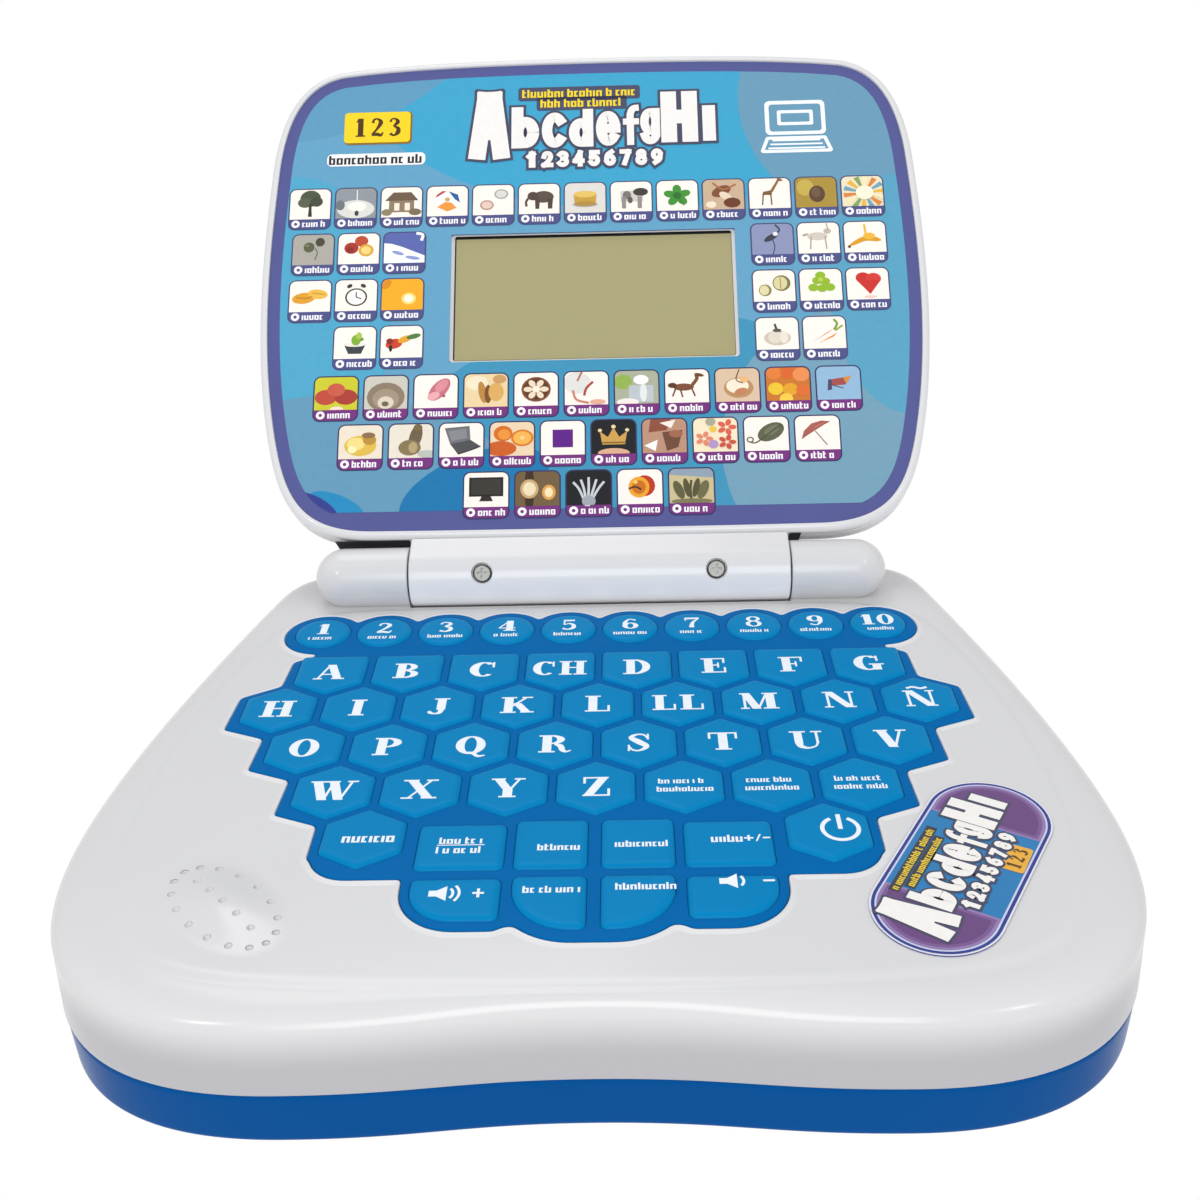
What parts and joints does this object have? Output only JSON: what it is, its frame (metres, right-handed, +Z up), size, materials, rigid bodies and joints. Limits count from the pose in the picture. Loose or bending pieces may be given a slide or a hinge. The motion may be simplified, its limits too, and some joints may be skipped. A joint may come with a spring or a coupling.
{
  "type": "toy laptop computer",
  "caption": "Child's toy laptop with a wavy two-colour base, honeycomb letter keypad, speaker dome and a hinged lid with picture label and small screen.",
  "frame": {"origin": "under the middle of the whole object, lid open, on the surface it stands on", "axes": "+X to the user's right, +Y away from the user towards the lid, +Z up"},
  "size_m": [0.2332, 0.2898, 0.165],
  "materials": {
    "white_plastic": "glossy moulded ABS",
    "blue_plastic": "glossy moulded ABS",
    "keypad_blue": "satin moulded sheet",
    "key_blue": "satin moulded caps with white printed legends",
    "printed_label": "glossy printed film",
    "lcd_glass": "olive grey liquid crystal panel under clear film",
    "screw_steel": "nickel plated",
    "circuit_board": "green solder mask",
    "speaker_metal": "satin",
    "battery_wrap": "printed wrap without marks",
    "contact_metal": "plated spring steel"
  },
  "bodies": {
    "base": {"base_top_shell": "white_plastic", "base_bottom_shell": "blue_plastic", "keypad_sheet": "keypad_blue", "badge_label": "printed_label", "main_board": "circuit_board", "speaker": "speaker_metal", "battery_cells": "battery_wrap", "battery_contacts": "contact_metal", "case_screws": "screw_steel", "hinge_pins": "screw_steel"},
    "lid": {"lid_front_shell": "white_plastic", "lid_rear_shell": "white_plastic", "lid_label": "printed_label", "lcd_module": "lcd_glass", "hinge_screws": "screw_steel"},
    "battery_door": {"battery_door": "blue_plastic", "battery_door_screw": "screw_steel"},
    "number_keys": {"number_keys": "key_blue"},
    "key_a": {"key_a": "key_blue"},
    "key_b": {"key_b": "key_blue"},
    "key_c": {"key_c": "key_blue"},
    "key_ch": {"key_ch": "key_blue"},
    "key_d": {"key_d": "key_blue"},
    "key_e": {"key_e": "key_blue"},
    "key_f": {"key_f": "key_blue"},
    "key_g": {"key_g": "key_blue"},
    "key_h": {"key_h": "key_blue"},
    "key_i": {"key_i": "key_blue"},
    "key_j": {"key_j": "key_blue"},
    "key_k": {"key_k": "key_blue"},
    "key_l": {"key_l": "key_blue"},
    "key_ll": {"key_ll": "key_blue"},
    "key_m": {"key_m": "key_blue"},
    "key_n": {"key_n": "key_blue"},
    "key_n_tilde": {"key_n_tilde": "key_blue"},
    "key_o": {"key_o": "key_blue"},
    "key_p": {"key_p": "key_blue"},
    "key_q": {"key_q": "key_blue"},
    "key_r": {"key_r": "key_blue"},
    "key_s": {"key_s": "key_blue"},
    "key_t": {"key_t": "key_blue"},
    "key_u": {"key_u": "key_blue"},
    "key_v": {"key_v": "key_blue"},
    "key_w": {"key_w": "key_blue"},
    "key_x": {"key_x": "key_blue"},
    "key_y": {"key_y": "key_blue"},
    "key_z": {"key_z": "key_blue"},
    "key_word_test": {"key_word_test": "key_blue"},
    "key_spelling_test": {"key_spelling_test": "key_blue"},
    "key_missing_letter": {"key_missing_letter": "key_blue"},
    "key_demo": {"key_demo": "key_blue"},
    "key_language": {"key_language": "key_blue"},
    "key_letters": {"key_letters": "key_blue"},
    "key_words": {"key_words": "key_blue"},
    "key_ask": {"key_ask": "key_blue"},
    "key_power": {"key_power": "key_blue"},
    "key_volume_up": {"key_volume_up": "key_blue"},
    "key_spelling": {"key_spelling": "key_blue"},
    "key_quiz": {"key_quiz": "key_blue"},
    "key_volume_down": {"key_volume_down": "key_blue"}
  },
  "joints": [
    {"name": "lid_hinge", "type": "hinge", "parent": "base", "child": "lid", "pos_m": [0, 0.02216, 0.04], "axis": [1, 0, 0], "range_deg": [0, 134.26]},
    {"name": "battery_door_slide", "type": "slide", "parent": "base", "child": "battery_door", "axis": [0, 0, -1], "range_m": [0, 0.02]},
    {"name": "number_keys_press", "type": "slide", "parent": "base", "child": "number_keys", "axis": [0, 0, -1], "range_m": [0, 0.001], "stiffness_N_per_m": 2500},
    {"name": "key_a_press", "type": "slide", "parent": "base", "child": "key_a", "axis": [0, 0, -1], "range_m": [0, 0.001], "stiffness_N_per_m": 350},
    {"name": "key_b_press", "type": "slide", "parent": "base", "child": "key_b", "axis": [0, 0, -1], "range_m": [0, 0.001], "stiffness_N_per_m": 350},
    {"name": "key_c_press", "type": "slide", "parent": "base", "child": "key_c", "axis": [0, 0, -1], "range_m": [0, 0.001], "stiffness_N_per_m": 350},
    {"name": "key_ch_press", "type": "slide", "parent": "base", "child": "key_ch", "axis": [0, 0, -1], "range_m": [0, 0.001], "stiffness_N_per_m": 350},
    {"name": "key_d_press", "type": "slide", "parent": "base", "child": "key_d", "axis": [0, 0, -1], "range_m": [0, 0.001], "stiffness_N_per_m": 350},
    {"name": "key_e_press", "type": "slide", "parent": "base", "child": "key_e", "axis": [0, 0, -1], "range_m": [0, 0.001], "stiffness_N_per_m": 350},
    {"name": "key_f_press", "type": "slide", "parent": "base", "child": "key_f", "axis": [0, 0, -1], "range_m": [0, 0.001], "stiffness_N_per_m": 350},
    {"name": "key_g_press", "type": "slide", "parent": "base", "child": "key_g", "axis": [0, 0, -1], "range_m": [0, 0.001], "stiffness_N_per_m": 350},
    {"name": "key_h_press", "type": "slide", "parent": "base", "child": "key_h", "axis": [0, 0, -1], "range_m": [0, 0.001], "stiffness_N_per_m": 350},
    {"name": "key_i_press", "type": "slide", "parent": "base", "child": "key_i", "axis": [0, 0, -1], "range_m": [0, 0.001], "stiffness_N_per_m": 350},
    {"name": "key_j_press", "type": "slide", "parent": "base", "child": "key_j", "axis": [0, 0, -1], "range_m": [0, 0.001], "stiffness_N_per_m": 350},
    {"name": "key_k_press", "type": "slide", "parent": "base", "child": "key_k", "axis": [0, 0, -1], "range_m": [0, 0.001], "stiffness_N_per_m": 350},
    {"name": "key_l_press", "type": "slide", "parent": "base", "child": "key_l", "axis": [0, 0, -1], "range_m": [0, 0.001], "stiffness_N_per_m": 350},
    {"name": "key_ll_press", "type": "slide", "parent": "base", "child": "key_ll", "axis": [0, 0, -1], "range_m": [0, 0.001], "stiffness_N_per_m": 350},
    {"name": "key_m_press", "type": "slide", "parent": "base", "child": "key_m", "axis": [0, 0, -1], "range_m": [0, 0.001], "stiffness_N_per_m": 350},
    {"name": "key_n_press", "type": "slide", "parent": "base", "child": "key_n", "axis": [0, 0, -1], "range_m": [0, 0.001], "stiffness_N_per_m": 350},
    {"name": "key_n_tilde_press", "type": "slide", "parent": "base", "child": "key_n_tilde", "axis": [0, 0, -1], "range_m": [0, 0.001], "stiffness_N_per_m": 350},
    {"name": "key_o_press", "type": "slide", "parent": "base", "child": "key_o", "axis": [0, 0, -1], "range_m": [0, 0.001], "stiffness_N_per_m": 350},
    {"name": "key_p_press", "type": "slide", "parent": "base", "child": "key_p", "axis": [0, 0, -1], "range_m": [0, 0.001], "stiffness_N_per_m": 350},
    {"name": "key_q_press", "type": "slide", "parent": "base", "child": "key_q", "axis": [0, 0, -1], "range_m": [0, 0.001], "stiffness_N_per_m": 350},
    {"name": "key_r_press", "type": "slide", "parent": "base", "child": "key_r", "axis": [0, 0, -1], "range_m": [0, 0.001], "stiffness_N_per_m": 350},
    {"name": "key_s_press", "type": "slide", "parent": "base", "child": "key_s", "axis": [0, 0, -1], "range_m": [0, 0.001], "stiffness_N_per_m": 350},
    {"name": "key_t_press", "type": "slide", "parent": "base", "child": "key_t", "axis": [0, 0, -1], "range_m": [0, 0.001], "stiffness_N_per_m": 350},
    {"name": "key_u_press", "type": "slide", "parent": "base", "child": "key_u", "axis": [0, 0, -1], "range_m": [0, 0.001], "stiffness_N_per_m": 350},
    {"name": "key_v_press", "type": "slide", "parent": "base", "child": "key_v", "axis": [0, 0, -1], "range_m": [0, 0.001], "stiffness_N_per_m": 350},
    {"name": "key_w_press", "type": "slide", "parent": "base", "child": "key_w", "axis": [0, 0, -1], "range_m": [0, 0.001], "stiffness_N_per_m": 350},
    {"name": "key_x_press", "type": "slide", "parent": "base", "child": "key_x", "axis": [0, 0, -1], "range_m": [0, 0.001], "stiffness_N_per_m": 350},
    {"name": "key_y_press", "type": "slide", "parent": "base", "child": "key_y", "axis": [0, 0, -1], "range_m": [0, 0.001], "stiffness_N_per_m": 350},
    {"name": "key_z_press", "type": "slide", "parent": "base", "child": "key_z", "axis": [0, 0, -1], "range_m": [0, 0.001], "stiffness_N_per_m": 350},
    {"name": "key_word_test_press", "type": "slide", "parent": "base", "child": "key_word_test", "axis": [0, 0, -1], "range_m": [0, 0.001], "stiffness_N_per_m": 350},
    {"name": "key_spelling_test_press", "type": "slide", "parent": "base", "child": "key_spelling_test", "axis": [0, 0, -1], "range_m": [0, 0.001], "stiffness_N_per_m": 350},
    {"name": "key_missing_letter_press", "type": "slide", "parent": "base", "child": "key_missing_letter", "axis": [0, 0, -1], "range_m": [0, 0.001], "stiffness_N_per_m": 350},
    {"name": "key_demo_press", "type": "slide", "parent": "base", "child": "key_demo", "axis": [0, 0, -1], "range_m": [0, 0.001], "stiffness_N_per_m": 350},
    {"name": "key_language_press", "type": "slide", "parent": "base", "child": "key_language", "axis": [0, 0, -1], "range_m": [0, 0.001], "stiffness_N_per_m": 350},
    {"name": "key_letters_press", "type": "slide", "parent": "base", "child": "key_letters", "axis": [0, 0, -1], "range_m": [0, 0.001], "stiffness_N_per_m": 350},
    {"name": "key_words_press", "type": "slide", "parent": "base", "child": "key_words", "axis": [0, 0, -1], "range_m": [0, 0.001], "stiffness_N_per_m": 350},
    {"name": "key_ask_press", "type": "slide", "parent": "base", "child": "key_ask", "axis": [0, 0, -1], "range_m": [0, 0.001], "stiffness_N_per_m": 350},
    {"name": "key_power_press", "type": "slide", "parent": "base", "child": "key_power", "axis": [0, 0, -1], "range_m": [0, 0.001], "stiffness_N_per_m": 350},
    {"name": "key_volume_up_press", "type": "slide", "parent": "base", "child": "key_volume_up", "axis": [0, 0, -1], "range_m": [0, 0.001], "stiffness_N_per_m": 350},
    {"name": "key_spelling_press", "type": "slide", "parent": "base", "child": "key_spelling", "axis": [0, 0, -1], "range_m": [0, 0.001], "stiffness_N_per_m": 350},
    {"name": "key_quiz_press", "type": "slide", "parent": "base", "child": "key_quiz", "axis": [0, 0, -1], "range_m": [0, 0.001], "stiffness_N_per_m": 350},
    {"name": "key_volume_down_press", "type": "slide", "parent": "base", "child": "key_volume_down", "axis": [0, 0, -1], "range_m": [0, 0.001], "stiffness_N_per_m": 350}
  ]
}
